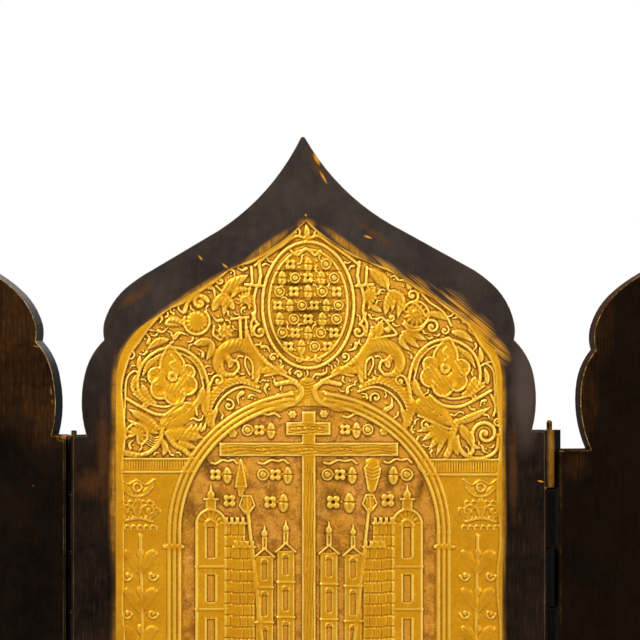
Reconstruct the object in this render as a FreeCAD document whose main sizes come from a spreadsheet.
import FreeCAD, Part

import math
import os

import Sketcher
from FreeCAD import Placement, Rotation, Vector

# A four-leaf folding travel icon, cast in brass and seen from its back.
#
# Four leaves with ogee tops hang on three upright hinge pins. Two shallow hinges fold a leaf
# on its neighbour's front, and the deep one between them, the spine, then closes both pairs.
# Lengths are in millimetres. +Z is up, the backs face -Y, and the origin is the middle of
# the centre leaf's foot.

doc = FreeCAD.newDocument("travel_icon")

SIZES = {
    # the castings
    "leaf_half": (50.0, "centre and right leaf, middle to hinge edge"),
    "body_rise": (113.2, "top of the spine and its blocks, where the lobes begin"),
    "leaf_thick": (4.5, "thickness of each leaf"),
    "stack_gap": (0.3, "play between two closed leaves"),
    "edge_bevel": (0.35, "worn bevel along the foot and sides, back and front"),
    "block_round": (1.0, "round of a hinge block's top corner"),
    # the outline over the body's rise, each height counted from the one before
    "lobe_height": (11.7, "lower lobe's middle, over the body"),
    "side_height": (11.1, "start of the upper lobe's side, over that"),
    "shoulder_height": (8.0, "middle of the shoulder, over that"),
    "slope_height": (2.9, "foot of the straight slope, over that"),
    "ogee_height": (8.4, "foot of the ogee's hollow, over that"),
    "tip_height": (19.4, "where the tip's round begins, over that"),
    "tip_half": (0.5, "half the width of the tip's round"),
    "tip_round": (0.56, "round of the tip"),
    "slope_round": (30.0, "first bend of the shoulder"),
    "shoulder_round": (15.36, "second bend of the shoulder"),
    "lobe_side_round": (8.6, "side of the upper lobe"),
    "lower_lobe_in": (0.5, "lower lobe's middle, in from its widest"),
    "lobe_top_round": (14.2, "upper half of the lower lobe"),
    "lobe_foot_round": (25.3, "lower half of the lower lobe"),
    # what differs from casting to casting
    "center_upper_in": (6.8, "upper lobe, in from the hinge edge"),
    "center_lower_in": (2.2, "lower lobe's widest, in from the hinge edge"),
    "center_foot_in": (0.8, "lower lobe's foot, in from its widest"),
    "center_cusp_height": (7.3, "cusp over the lower lobe's middle"),
    "center_drop": (0.0, "gable, lower than the pattern"),
    "center_apex_off": (-1.3, "tip, off the middle"),
    "center_slope_off": (0.85, "slopes, off the middle"),
    "left_upper_in": (6.95, "upper lobe, in from the hinge axis"),
    "left_lower_in": (2.5, "lower lobe's widest, in from the hinge axis"),
    "left_foot_in": (0.8, "lower lobe's foot, in from its widest"),
    "left_cusp_height": (8.0, "cusp over the lower lobe's middle"),
    "left_drop": (1.0, "gable, lower than the pattern"),
    "right_upper_in": (8.0, "upper lobe, in from the hinge edge"),
    "right_lower_in": (4.4, "lower lobe's widest, in from the hinge edge"),
    "right_foot_in": (2.4, "lower lobe's foot, in from its widest"),
    "right_cusp_height": (6.7, "cusp over the lower lobe's middle"),
    "right_drop": (1.5, "gable, lower than the pattern"),
    "end_narrower": (2.1, "end leaf's half width, less than the left leaf's"),
    "end_upper_in": (7.2, "upper lobe, in from the hinge axis"),
    "end_lower_in": (2.9, "lower lobe's widest, in from the hinge axis"),
    "end_foot_in": (2.4, "lower lobe's foot, in from its widest"),
    "end_cusp_height": (6.7, "cusp over the lower lobe's middle"),
    "end_drop": (2.6, "gable, lower than the pattern"),
    # the framed fields
    "rim": (4.0, "rim round the front fields"),
    "field_bar": (3.4, "bars between the front fields"),
    "foot_rim": (6.0, "rim under the front fields"),
    "front_sink": (2.0, "depth of the front fields"),
    "gable_under": (7.7, "gable field's top under the tip's round"),
    "back_sink": (0.9, "depth of the field on the centre leaf's back"),
    "back_margin": (9.3, "that field's side, in from the hinge edge"),
    "back_foot_z": (5.0, "that field's lower edge"),
    "back_side_height": (10.3, "top of that field's straight side, over the body"),
    "back_turn_height": (12.2, "end of its upper corner, over that"),
    "back_slope_height": (11.6, "end of its slope, over that"),
    "back_tip_height": (10.2, "top of that field, over that"),
    "back_turn_round": (15.0, "round of that field's upper corner"),
    "back_ogee_round": (42.0, "hollow over its slope"),
    # the raised cross under its arch
    "relief_rise": (0.45, "height of the cross and arch over their ground"),
    "arch_under": (21.7, "springing of the arch, under the body's top"),
    "arch_outer": (29.6, "outer radius of the arch"),
    "arch_band": (2.2, "width of the arch band"),
    "arch_foot_z": (16.0, "foot of the arch's columns"),
    "post_half": (1.3, "half the width of the cross's post"),
    "post_height": (25.5, "top of the post, over the springing"),
    "post_foot_z": (30.0, "foot of the post"),
    "title_half": (4.5, "half the length of the upper bar"),
    "title_height": (22.0, "middle of the upper bar, over the springing"),
    "beam_half": (18.5, "half the length of the main beam"),
    "beam_height": (17.6, "middle of the main beam, over the springing"),
    "bar_half": (1.2, "half the width of each bar"),
    "rest_half": (8.0, "half the length of the slanting footrest"),
    "rest_under": (33.5, "middle of the footrest, under the springing"),
    "rest_lift": (2.6, "how far its left end stands higher"),
    # the hinges
    "pin_radius": (0.6, "hinge pins"),
    "pin_play": (0.05, "running clearance round a pin"),
    "pin_nose": (0.12, "bevel at a pin's end"),
    "knuckle_gap": (0.4, "gap between two knuckles"),
    "knuckle_radius": (2.5, "knuckles of the shallow hinges"),
    "notch_play": (0.3, "play round a knuckle in the other leaf's notch"),
    "edge_past": (0.15, "carrying leaf's edge, past the axis"),
    "edge_short": (0.35, "swinging leaf's edge, short of the axis"),
    "spine_radius": (2.4, "knuckles of the spine"),
    "spine_reach": (1.2, "centre leaf's edge to the spine's axis"),
    "spine_past": (0.25, "right leaf's edge, past the spine's axis"),
    "free_play": (0.3, "a closed leaf's free edge to the spine's knuckles"),
    "lug_thick": (2.0, "web that carries a spine knuckle"),
    "left_under": (1.0, "left hinge, lower than the spine"),
    "end_under": (4.0, "end hinge, lower than the spine"),
    "left_proud": (1.0, "left pin over its top knuckle"),
    "spine_proud": (2.1, "spine pin over its top knuckle"),
    "end_proud": (1.0, "end pin over its top knuckle"),
    "overrun": (2.0, "how far a cut runs past the metal"),
}
KNUCKLES = 9
LEFT_LEAN_DEG = 16.0
RIGHT_LEAN_DEG = 11.0
SAME = 1e-6
# a sketch line's two ends and a circle's middle, as constraints number them
START, END, MIDDLE = 1, 2, 3

sheet = doc.addObject("Spreadsheet::Sheet", "Sizes")
for row, (name, (value, note)) in enumerate(SIZES.items(), start=1):
    sheet.set(f"A{row}", name)
    sheet.set(f"B{row}", str(value))
    sheet.setAlias(f"B{row}", name)
    sheet.set(f"C{row}", note)
doc.recompute()


class Size:
    """A length: its value in millimetres and the cells that it comes from."""

    def __init__(self, value, text):
        self.value = value
        self.text = text

    def __add__(self, other):
        return Size(self.value + other.value, f"({self.text} + {other.text})")

    def __sub__(self, other):
        return Size(self.value - other.value, f"({self.text} - {other.text})")

    def __mul__(self, share):
        return Size(self.value * share, f"({self.text} * {share})")

    def over(self, other):
        """The ratio of two lengths, kept as a length so that it can be bound."""
        return Size(self.value / other.value, f"({self.text} / {other.text})")

    def times(self, other):
        return Size(self.value * other.value, f"({self.text} * {other.text})")

    def __neg__(self):
        return Size(-self.value, f"(-{self.text})")


def size(name):
    """The sheet's value of that name."""
    return Size(float(sheet.get(name)), f"Sizes.{name}")


ZERO = Size(0.0, "0")
thick = size("leaf_thick")
overrun = size("overrun")
shallow_depth = thick + size("stack_gap") * 0.5
spine_depth = thick * 2 + size("stack_gap") * 1.5
bore_radius = size("pin_radius") + size("pin_play")
leaf_half = size("leaf_half")
body_rise = size("body_rise")
left_rise = body_rise - size("left_under")
end_rise = body_rise - size("end_under")
# folded on its neighbour, a swinging leaf stops short of the spine's knuckles
axes_apart = leaf_half * 2 - size("edge_past") - size("spine_past")
reach = axes_apart - size("spine_radius") - size("free_play")
left_half = (reach + size("left_lower_in")) * 0.5
# the end leaf is narrower, so that it hides behind the right one
end_half = left_half - size("end_narrower")
HALVES = {"center": leaf_half, "right": leaf_half, "left": left_half, "end": end_half}


# Sketches and features

def line(sketch, start, end):
    return sketch.addGeometry(Part.LineSegment(Vector(*start, 0), Vector(*end, 0)), False)


def arc(sketch, start, end, radius, turn):
    """A circle's arc between two points, to the left where turn is 1 and else to the right."""
    (x0, y0), (x1, y1) = (start, end) if turn > 0 else (end, start)
    half = math.hypot(x1 - x0, y1 - y0) / 2
    lift = math.sqrt(max(radius**2 - half**2, 0))
    cx = (x0 + x1) / 2 - (y1 - y0) / (2 * half) * lift
    cy = (y0 + y1) / 2 + (x1 - x0) / (2 * half) * lift
    circle = Part.Circle(Vector(cx, cy, 0), Vector(0, 0, 1), radius)
    begin, stop = math.atan2(y0 - cy, x0 - cx), math.atan2(y1 - cy, x1 - cx)
    return sketch.addGeometry(Part.ArcOfCircle(circle, begin, stop), False)


def bind(sketch, constraint, length):
    """Adds a constraint whose value is a size of the sheet."""
    index = sketch.addConstraint(constraint)
    sketch.setExpression(f"Constraints[{index}]", length.text)


def loop(sketch, points):
    """A closed outline. Each point is x, y and, where an arc starts there, radius and turn."""
    ends = []
    for here, after in zip(points, points[1:] + points[:1]):
        start, end = (here[0].value, here[1].value), (after[0].value, after[1].value)
        if len(here) == 2:
            edge, first, last = line(sketch, start, end), START, END
        else:
            radius, turn = here[2:]
            edge = arc(sketch, start, end, radius.value, turn)
            first, last = (START, END) if turn > 0 else (END, START)
            bind(sketch, Sketcher.Constraint("Radius", edge, radius.value), radius)
        bind(sketch, Sketcher.Constraint("DistanceX", edge, first, start[0]), here[0])
        bind(sketch, Sketcher.Constraint("DistanceY", edge, first, start[1]), here[1])
        ends.append((edge, first, last))
    for here, after in zip(ends, ends[1:] + ends[:1]):
        sketch.addConstraint(Sketcher.Constraint("Coincident", here[0], here[2], after[0], after[1]))


def circle(sketch, x, y, radius):
    ring = Part.Circle(Vector(x.value, y.value, 0), Vector(0, 0, 1), radius.value)
    edge = sketch.addGeometry(ring, False)
    bind(sketch, Sketcher.Constraint("Radius", edge, radius.value), radius)
    bind(sketch, Sketcher.Constraint("DistanceX", edge, MIDDLE, x.value), x)
    bind(sketch, Sketcher.Constraint("DistanceY", edge, MIDDLE, y.value), y)


def sketch_on(body, plane, name, offset=ZERO):
    """A sketch on one of the body's own planes, moved along the plane's normal."""
    sketch = body.newObject("Sketcher::SketchObject", name)
    planes = [item for item in body.Origin.OriginFeatures if item.Role == plane]
    sketch.AttachmentSupport = (planes[0], [""])
    sketch.MapMode = "FlatFace"
    sketch.AttachmentOffset = Placement(Vector(0, 0, offset.value), Rotation())
    sketch.setExpression("AttachmentOffset.Base.z", offset.text)
    return sketch


def feature(body, kind, sketch, name, length, reverse=False):
    """A Pad or Pocket of a sketch, of that length."""
    made = body.newObject(f"PartDesign::{kind}", name)
    made.Profile = sketch
    made.Type = "Length"
    made.Length = length.value
    made.setExpression("Length", length.text)
    made.Reversed = reverse
    sketch.Visibility = False
    doc.recompute()
    return made


def repeat_up(body, original, name, step, count):
    """Copies a feature upwards, one every step."""
    extent = step * (count - 1)
    made = body.newObject("PartDesign::LinearPattern", name)
    made.Originals = [original]
    made.Direction = ([item for item in body.Origin.OriginFeatures if item.Role == "Z_Axis"][0], [""])
    made.Length = extent.value
    made.setExpression("Length", extent.text)
    made.Occurrences = count
    body.Tip = made
    doc.recompute()


# The leaf's outline, from its foot counter-clockwise

def lobes(kind):
    """The upper and the lower lobe's widest, from the middle."""
    return HALVES[kind] - size(f"{kind}_upper_in"), HALVES[kind] - size(f"{kind}_lower_in")


def heights(kind):
    """Of the lower lobe's middle, the upper one's side, and each station of the gable."""
    steps = ["lobe_height", "side_height", "shoulder_height", "slope_height", "ogee_height",
             "tip_height"]
    height = body_rise - size(f"{kind}_drop")
    found = []
    for step in steps:
        height = height + size(step)
        found.append(height)
    return found


def stations(kind):
    """Where the shoulder, the slope and the ogee's hollow end, for a leaf with these lobes."""
    upper = lobes(kind)[0]
    lobe_shares = [0.882, 0.787, 0.447]
    return [(upper * share, z) for share, z in zip(lobe_shares, heights(kind)[2:5])]


def ogee_radius(slope, ogee, tip):
    """The radius of the hollow that leaves the straight slope smoothly and ends at the tip."""
    run, climb = slope[0] - ogee[0], ogee[1] - slope[1]
    across, up = ogee[0] - tip[0], tip[1] - ogee[1]
    steep = math.hypot(run.value, climb.value)
    length = Size(steep, f"sqrt({run.text}^2 + {climb.text}^2)")
    chord = across.times(across) + up.times(up)
    side = up.times(run) - across.times(climb)
    return chord.times(length).over(side * 2)


def half_outline(kind, side, edge, rise):
    """One side of a leaf from its foot to its tip, edge and rise being its hinge block's."""
    upper, lower = lobes(kind)
    lobe_z, side_z, _, _, _, tip_z = heights(kind)
    # a lowered gable takes only half of its drop out of the upper lobe's side
    side_z = side_z + size(f"{kind}_drop") * 0.5
    foot_x = lower - size(f"{kind}_foot_in")
    body = [(foot_x, ZERO)]
    if edge:
        corner = size("block_round")
        body = [(edge, ZERO), (edge, rise - corner, corner, 1), (edge - corner, rise)]
    body += [
        (foot_x, rise, size("lobe_foot_round"), 1),
        (lower - size("lower_lobe_in"), lobe_z, size("lobe_top_round"), 1),
        (upper, lobe_z + size(f"{kind}_cusp_height"), size("lobe_side_round"), 1),
        (upper, side_z, size("shoulder_round"), 1),
    ]
    bend, slope, ogee = stations(kind)
    tip = (size("tip_half"), tip_z)
    gable = [
        bend + (size("slope_round"), 1),
        slope,
        ogee + (ogee_radius(slope, ogee, tip), -1),
        tip + (size("tip_round"), 1),
    ]
    off = [ZERO] * len(gable)
    if kind == "center":
        slopes, off_shares = size("center_slope_off"), [0.6, 1.0, 0.35]
        off = [slopes * share for share in off_shares] + [size("center_apex_off")]
    placed = [(point[0] * side,) + tuple(point[1:]) for point in body]
    for point, shift in zip(gable, off):
        placed.append((point[0] * side + shift,) + tuple(point[1:]))
    return placed


def outline(kind, left, right):
    """The whole outline. left and right are each side's block, as edge and rise, edge or none."""
    there = half_outline(kind, 1, *right)
    back = half_outline(kind, -1, *left)
    points = list(there)
    # the left side runs downwards, so each arc is written at its upper end
    for upper, lower in zip(back[::-1], back[-2::-1] + [None]):
        curve = tuple(lower[2:]) if lower else ()
        points.append(tuple(upper[:2]) + curve)
    return points


def gable_field(kind):
    """The field under the ogee on a leaf's front, one rim inside the outline."""
    rim = size("rim")
    side = lobes(kind)[0] - rim
    foot = end_rise - rim * 0.5 + size("field_bar")
    in_shares = [(0.64, 0.77), (0.5, 0.87), (0.5, 0.87)]
    shoulder, slope, ogee = [
        (x - rim * across, z - rim * down)
        for (x, z), (across, down) in zip(stations(kind), in_shares)
    ]
    under_share = 0.25
    lobe = (side, heights(kind)[1] - rim * under_share)
    tip = (ZERO, heights(kind)[-1] - size("gable_under"))
    hollow = ogee_radius(slope, ogee, tip)
    bend = size("shoulder_round") - rim
    turn = size("slope_round") - rim
    return [
        (-side, foot),
        (side, foot),
        lobe + (bend, 1),
        shoulder + (turn, 1),
        slope,
        ogee + (hollow, -1),
        tip + (hollow, -1),
        (-ogee[0], ogee[1]),
        (-slope[0], slope[1], turn, 1),
        (-shoulder[0], shoulder[1], bend, 1),
        (-lobe[0], lobe[1]),
    ]


def rectangle(x0, y0, x1, y1):
    return [(x0, y0), (x1, y0), (x1, y1), (x0, y1)]


# The leaf's features

def cast_plate(body, name, kind, left, right):
    """The plate, with its foot and its two sides worn to a bevel."""
    sketch = sketch_on(body, "XZ_Plane", f"{name}_outline")
    loop(sketch, outline(kind, left, right))
    plate = feature(body, "Pad", sketch, f"{name}_plate", thick, reverse=True)
    edges = []
    for number, edge in enumerate(plate.Shape.Edges, start=1):
        box = edge.BoundBox
        if box.YLength < SAME and abs(box.ZMin) < SAME:
            edges.append(f"Edge{number}")
    bevel = body.newObject("PartDesign::Chamfer", f"{name}_bevel")
    bevel.Base = (plate, edges)
    bevel.Size = size("edge_bevel").value
    bevel.setExpression("Size", size("edge_bevel").text)
    doc.recompute()


def sink_front(body, name, kind):
    """Four panels and a gable field, sunk into the front between rims and bars."""
    rim, half_bar = size("rim"), size("field_bar") * 0.5
    outer = lobes("end")[1] - size("end_foot_in") - rim
    foot, head = size("foot_rim"), end_rise - rim * 0.5
    middle = (foot + head) * 0.5
    sketch = sketch_on(body, "XZ_Plane", f"{name}_fields", -thick)
    for side in (1, -1):
        near, far = sorted((half_bar * side, outer * side), key=lambda length: length.value)
        loop(sketch, rectangle(near, foot, far, middle - half_bar))
        loop(sketch, rectangle(near, middle + half_bar, far, head))
    loop(sketch, gable_field(kind))
    feature(body, "Pocket", sketch, f"{name}_front", size("front_sink"), reverse=True)


def sink_back(body, name):
    """The field on the centre leaf's back, with its arch and cross standing in it."""
    turn_share, slope_share = 0.848, 0.405
    half = leaf_half - size("back_margin")
    turn_x, slope_x = half * turn_share, half * slope_share
    side_z = body_rise + size("back_side_height")
    turn_z = side_z + size("back_turn_height")
    slope_z = turn_z + size("back_slope_height")
    tip_z = slope_z + size("back_tip_height")
    bend, hollow = size("back_turn_round"), size("back_ogee_round")
    sketch = sketch_on(body, "XZ_Plane", f"{name}_back_field")
    loop(sketch, [
        (-half, size("back_foot_z")),
        (half, size("back_foot_z")),
        (half, side_z, bend, 1),
        (turn_x, turn_z),
        (slope_x, slope_z, hollow, -1),
        (size("center_apex_off") * 0.5, tip_z, hollow, -1),
        (-slope_x, slope_z),
        (-turn_x, turn_z, bend, 1),
        (-half, side_z),
    ])
    feature(body, "Pocket", sketch, f"{name}_back", size("back_sink"))

    outer, inner = size("arch_outer"), size("arch_outer") - size("arch_band")
    spring, foot = body_rise - size("arch_under"), size("arch_foot_z")
    arch = sketch_on(body, "XZ_Plane", f"{name}_arch", -size("back_sink"))
    loop(arch, [
        (inner, foot), (outer, foot), (outer, spring, outer, 1), (ZERO, spring + outer, outer, 1),
        (-outer, spring), (-outer, foot), (-inner, foot), (-inner, spring, inner, -1),
        (ZERO, spring + inner, inner, -1), (inner, spring),
    ])
    feature(body, "Pad", arch, f"{name}_arch_rise", size("relief_rise"))

    post, bar = size("post_half"), size("bar_half")
    top, base = spring + size("post_height"), size("post_foot_z")
    title, beam = spring + size("title_height"), spring + size("beam_height")
    rest, lift, slant = size("rest_half"), size("rest_lift"), spring - size("rest_under")
    near = lift.times(post).over(rest)
    cross = sketch_on(body, "XZ_Plane", f"{name}_cross", -size("back_sink"))
    right = [
        (post, base),
        (post, slant - bar - near), (rest, slant - bar - lift), (rest, slant + bar - lift),
        (post, slant + bar - near),
        (post, beam - bar), (size("beam_half"), beam - bar), (size("beam_half"), beam + bar),
        (post, beam + bar),
        (post, title - bar), (size("title_half"), title - bar), (size("title_half"), title + bar),
        (post, title + bar),
        (post, top),
    ]
    left = [(-x, z) for x, z in right[::-1]]
    footrest = [
        (-post, slant + bar + near), (-rest, slant + bar + lift), (-rest, slant - bar + lift),
        (-post, slant - bar + near),
    ]
    left[-5:-1] = footrest
    loop(cross, right + left)
    feature(body, "Pad", cross, f"{name}_cross_rise", size("relief_rise"))


def knuckle_span(rise, number):
    """Where knuckle number starts, counted from the foot, and how long it is."""
    pitch = rise * (1 / KNUCKLES)
    return pitch * number + size("knuckle_gap") * 0.5, pitch - size("knuckle_gap")


def cut_notches(body, name, x, rise, first):
    """Room in a leaf's edge for the knuckles of the leaf that swings beside it."""
    start, length = knuckle_span(rise, first)
    gap = size("knuckle_gap")
    sketch = sketch_on(body, "XY_Plane", f"{name}_notch_sketch", start - gap)
    circle(sketch, x, shallow_depth, size("knuckle_radius") + size("notch_play"))
    notch = feature(body, "Pocket", sketch, f"{name}_notch", length + gap * 2, reverse=True)
    count = len(range(first, KNUCKLES, 2))
    repeat_up(body, notch, f"{name}_notches", rise * (2 / KNUCKLES), count)


def add_knuckles(body, name, x, rise, first):
    """Barrels of a shallow hinge, which sit in the leaf's own edge."""
    start, length = knuckle_span(rise, first)
    sketch = sketch_on(body, "XY_Plane", f"{name}_barrel_sketch", start)
    circle(sketch, x, shallow_depth, size("knuckle_radius"))
    barrel = feature(body, "Pad", sketch, f"{name}_barrel", length)
    count = len(range(first, KNUCKLES, 2))
    repeat_up(body, barrel, f"{name}_barrels", rise * (2 / KNUCKLES), count)


def add_lugs(body, name, x, edge, inward, rise, first):
    """Knuckles of the spine, each on a web that stands out from the leaf's front edge."""
    start, length = knuckle_span(rise, first)
    radius = size("spine_radius")
    root = edge + size("lug_thick") * inward
    seat = thick - size("edge_bevel") * 2
    web = [
        (root, seat),
        (x + radius * inward, spine_depth, radius, inward),
        (x, spine_depth + radius, radius, inward),
        (x - radius * inward, spine_depth),
        (edge, seat),
    ]
    sketch = sketch_on(body, "XY_Plane", f"{name}_lug_sketch", start)
    loop(sketch, web)
    lug = feature(body, "Pad", sketch, f"{name}_lug", length)
    count = len(range(first, KNUCKLES, 2))
    repeat_up(body, lug, f"{name}_lugs", rise * (2 / KNUCKLES), count)


def drill(body, name, x, depth, rise):
    """The pin's bore, from the first knuckle's foot to the last one's top."""
    sketch = sketch_on(body, "XY_Plane", f"{name}_bore_sketch", -overrun)
    circle(sketch, x, depth, bore_radius)
    feature(body, "Pocket", sketch, f"{name}_bore", rise + overrun * 2, reverse=True)


def new_body(name):
    body = doc.addObject("PartDesign::Body", name)
    body.Label = name
    return body


# The four leaves, each flat with its back at y = 0

def make_center():
    body = new_body("center_leaf")
    left_x, spine_x = size("edge_past") - leaf_half, leaf_half + size("spine_reach")
    cast_plate(body, "center", "center", (leaf_half, left_rise), (leaf_half, body_rise))
    sink_front(body, "center", "center")
    sink_back(body, "center")
    cut_notches(body, "center", left_x, left_rise, 0)
    add_knuckles(body, "center", left_x, left_rise, 1)
    drill(body, "center_left", left_x, shallow_depth, left_rise)
    add_lugs(body, "center", spine_x, leaf_half, -1, body_rise, 0)
    drill(body, "center_spine", spine_x, spine_depth, body_rise)
    return body


def make_right():
    body = new_body("right_leaf")
    spine_x, end_x = size("spine_past") - leaf_half, leaf_half - size("edge_past")
    cast_plate(body, "right", "right", (leaf_half, end_rise), (leaf_half, end_rise))
    sink_front(body, "right", "right")
    cut_notches(body, "right", end_x, end_rise, 0)
    add_knuckles(body, "right", end_x, end_rise, 1)
    drill(body, "right_end", end_x, shallow_depth, end_rise)
    add_lugs(body, "right", spine_x, -leaf_half, 1, body_rise, 1)
    drill(body, "right_spine", spine_x, spine_depth, body_rise)
    return body


def make_swinging(name, side, rise):
    """A leaf with one hinge, on its right where side is 1, and a free edge opposite."""
    body = new_body(f"{name}_leaf")
    half = HALVES[name]
    axis_x = half * side
    hinged = (half - size("edge_short"), rise)
    free = (None, rise)
    blocks = (free, hinged) if side > 0 else (hinged, free)
    cast_plate(body, name, name, *blocks)
    sink_front(body, name, name)
    cut_notches(body, name, axis_x, rise, 1)
    add_knuckles(body, name, axis_x, rise, 0)
    drill(body, name, axis_x, shallow_depth, rise)
    return body


def make_pin(name, rise, rounded):
    """A pin turned about the Z axis, its top rounded over or only bevelled like its foot."""
    body = new_body(f"{name}_hinge_pin")
    radius, nose = size("pin_radius"), size("pin_nose")
    foot = size("knuckle_gap") * 0.5
    top = rise - foot + size(f"{name}_proud")
    head = [(radius, top - nose), (radius - nose, top)]
    if rounded:
        head = [(radius, top - radius, radius, 1)]
    sketch = sketch_on(body, "XZ_Plane", f"{name}_pin_half")
    loop(sketch, [(ZERO, foot), (radius - nose, foot), (radius, foot + nose)] + head + [(ZERO, top)])
    pin = body.newObject("PartDesign::Revolution", f"{name}_pin")
    pin.Profile = sketch
    pin.ReferenceAxis = (sketch, ["V_Axis"])
    pin.Angle = 360.0
    doc.recompute()
    return body


center = make_center()
right = make_right()
left = make_swinging("left", 1, left_rise)
end = make_swinging("end", -1, end_rise)
left_pin = make_pin("left", left_rise, rounded=False)
spine_pin = make_pin("spine", body_rise, rounded=True)
end_pin = make_pin("end", end_rise, rounded=False)


# The leaves stand as a screen, the end leaf folded flat on the front of the right one

def hang(body, own_axis, axis, degrees):
    """Turns a leaf about its own hinge axis and sets that on an axis of the frame."""
    turn = Rotation(Vector(0, 0, 1), degrees)
    body.Placement = Placement(axis - turn.multVec(own_axis), turn)


def point(x, y):
    return Vector(x.value, y.value, 0)


back = -thick * 0.5
left_axis = point(size("edge_past") - leaf_half, shallow_depth + back)
spine_axis = point(leaf_half + size("spine_reach"), spine_depth + back)
center.Placement = Placement(Vector(0, back.value, 0), Rotation())
hang(left, point(left_half, shallow_depth), left_axis, -LEFT_LEAN_DEG)
hang(right, point(size("spine_past") - leaf_half, spine_depth), spine_axis, RIGHT_LEAN_DEG)
end_axis = right.Placement.multVec(point(leaf_half - size("edge_past"), shallow_depth))
hang(end, point(-end_half, shallow_depth), end_axis, RIGHT_LEAN_DEG + 180)
left_pin.Placement = Placement(left_axis, Rotation())
spine_pin.Placement = Placement(spine_axis, Rotation())
end_pin.Placement = Placement(end_axis, Rotation())
doc.recompute()

failed = [item for item in doc.Objects if "Invalid" in item.State or "Error" in item.State]
if failed:
    raise RuntimeError("failed: " + ", ".join(f"{item.Name} {item.State}" for item in failed))
bodies = [center, left, right, end, left_pin, spine_pin, end_pin]
for body in bodies:
    if body.Shape.isNull() or not body.Shape.isValid():
        raise RuntimeError(f"{body.Label} has no valid shape")

os.makedirs("parts", exist_ok=True)
for body in bodies:
    body.Shape.exportStep(f"parts/{body.Label}.step")
    box = body.Shape.BoundBox
    print(f"{body.Label}: {body.Shape.Volume:.0f} mm3, {len(body.Shape.Solids)} solid,",
          f"x {box.XMin:.2f} {box.XMax:.2f}, y {box.YMin:.2f} {box.YMax:.2f},",
          f"z {box.ZMin:.2f} {box.ZMax:.2f}")
for name, axis in (("left", left_axis), ("spine", spine_axis), ("end", end_axis)):
    print(f"{name} hinge axis at x {axis.x:.4f}, y {axis.y:.4f}")
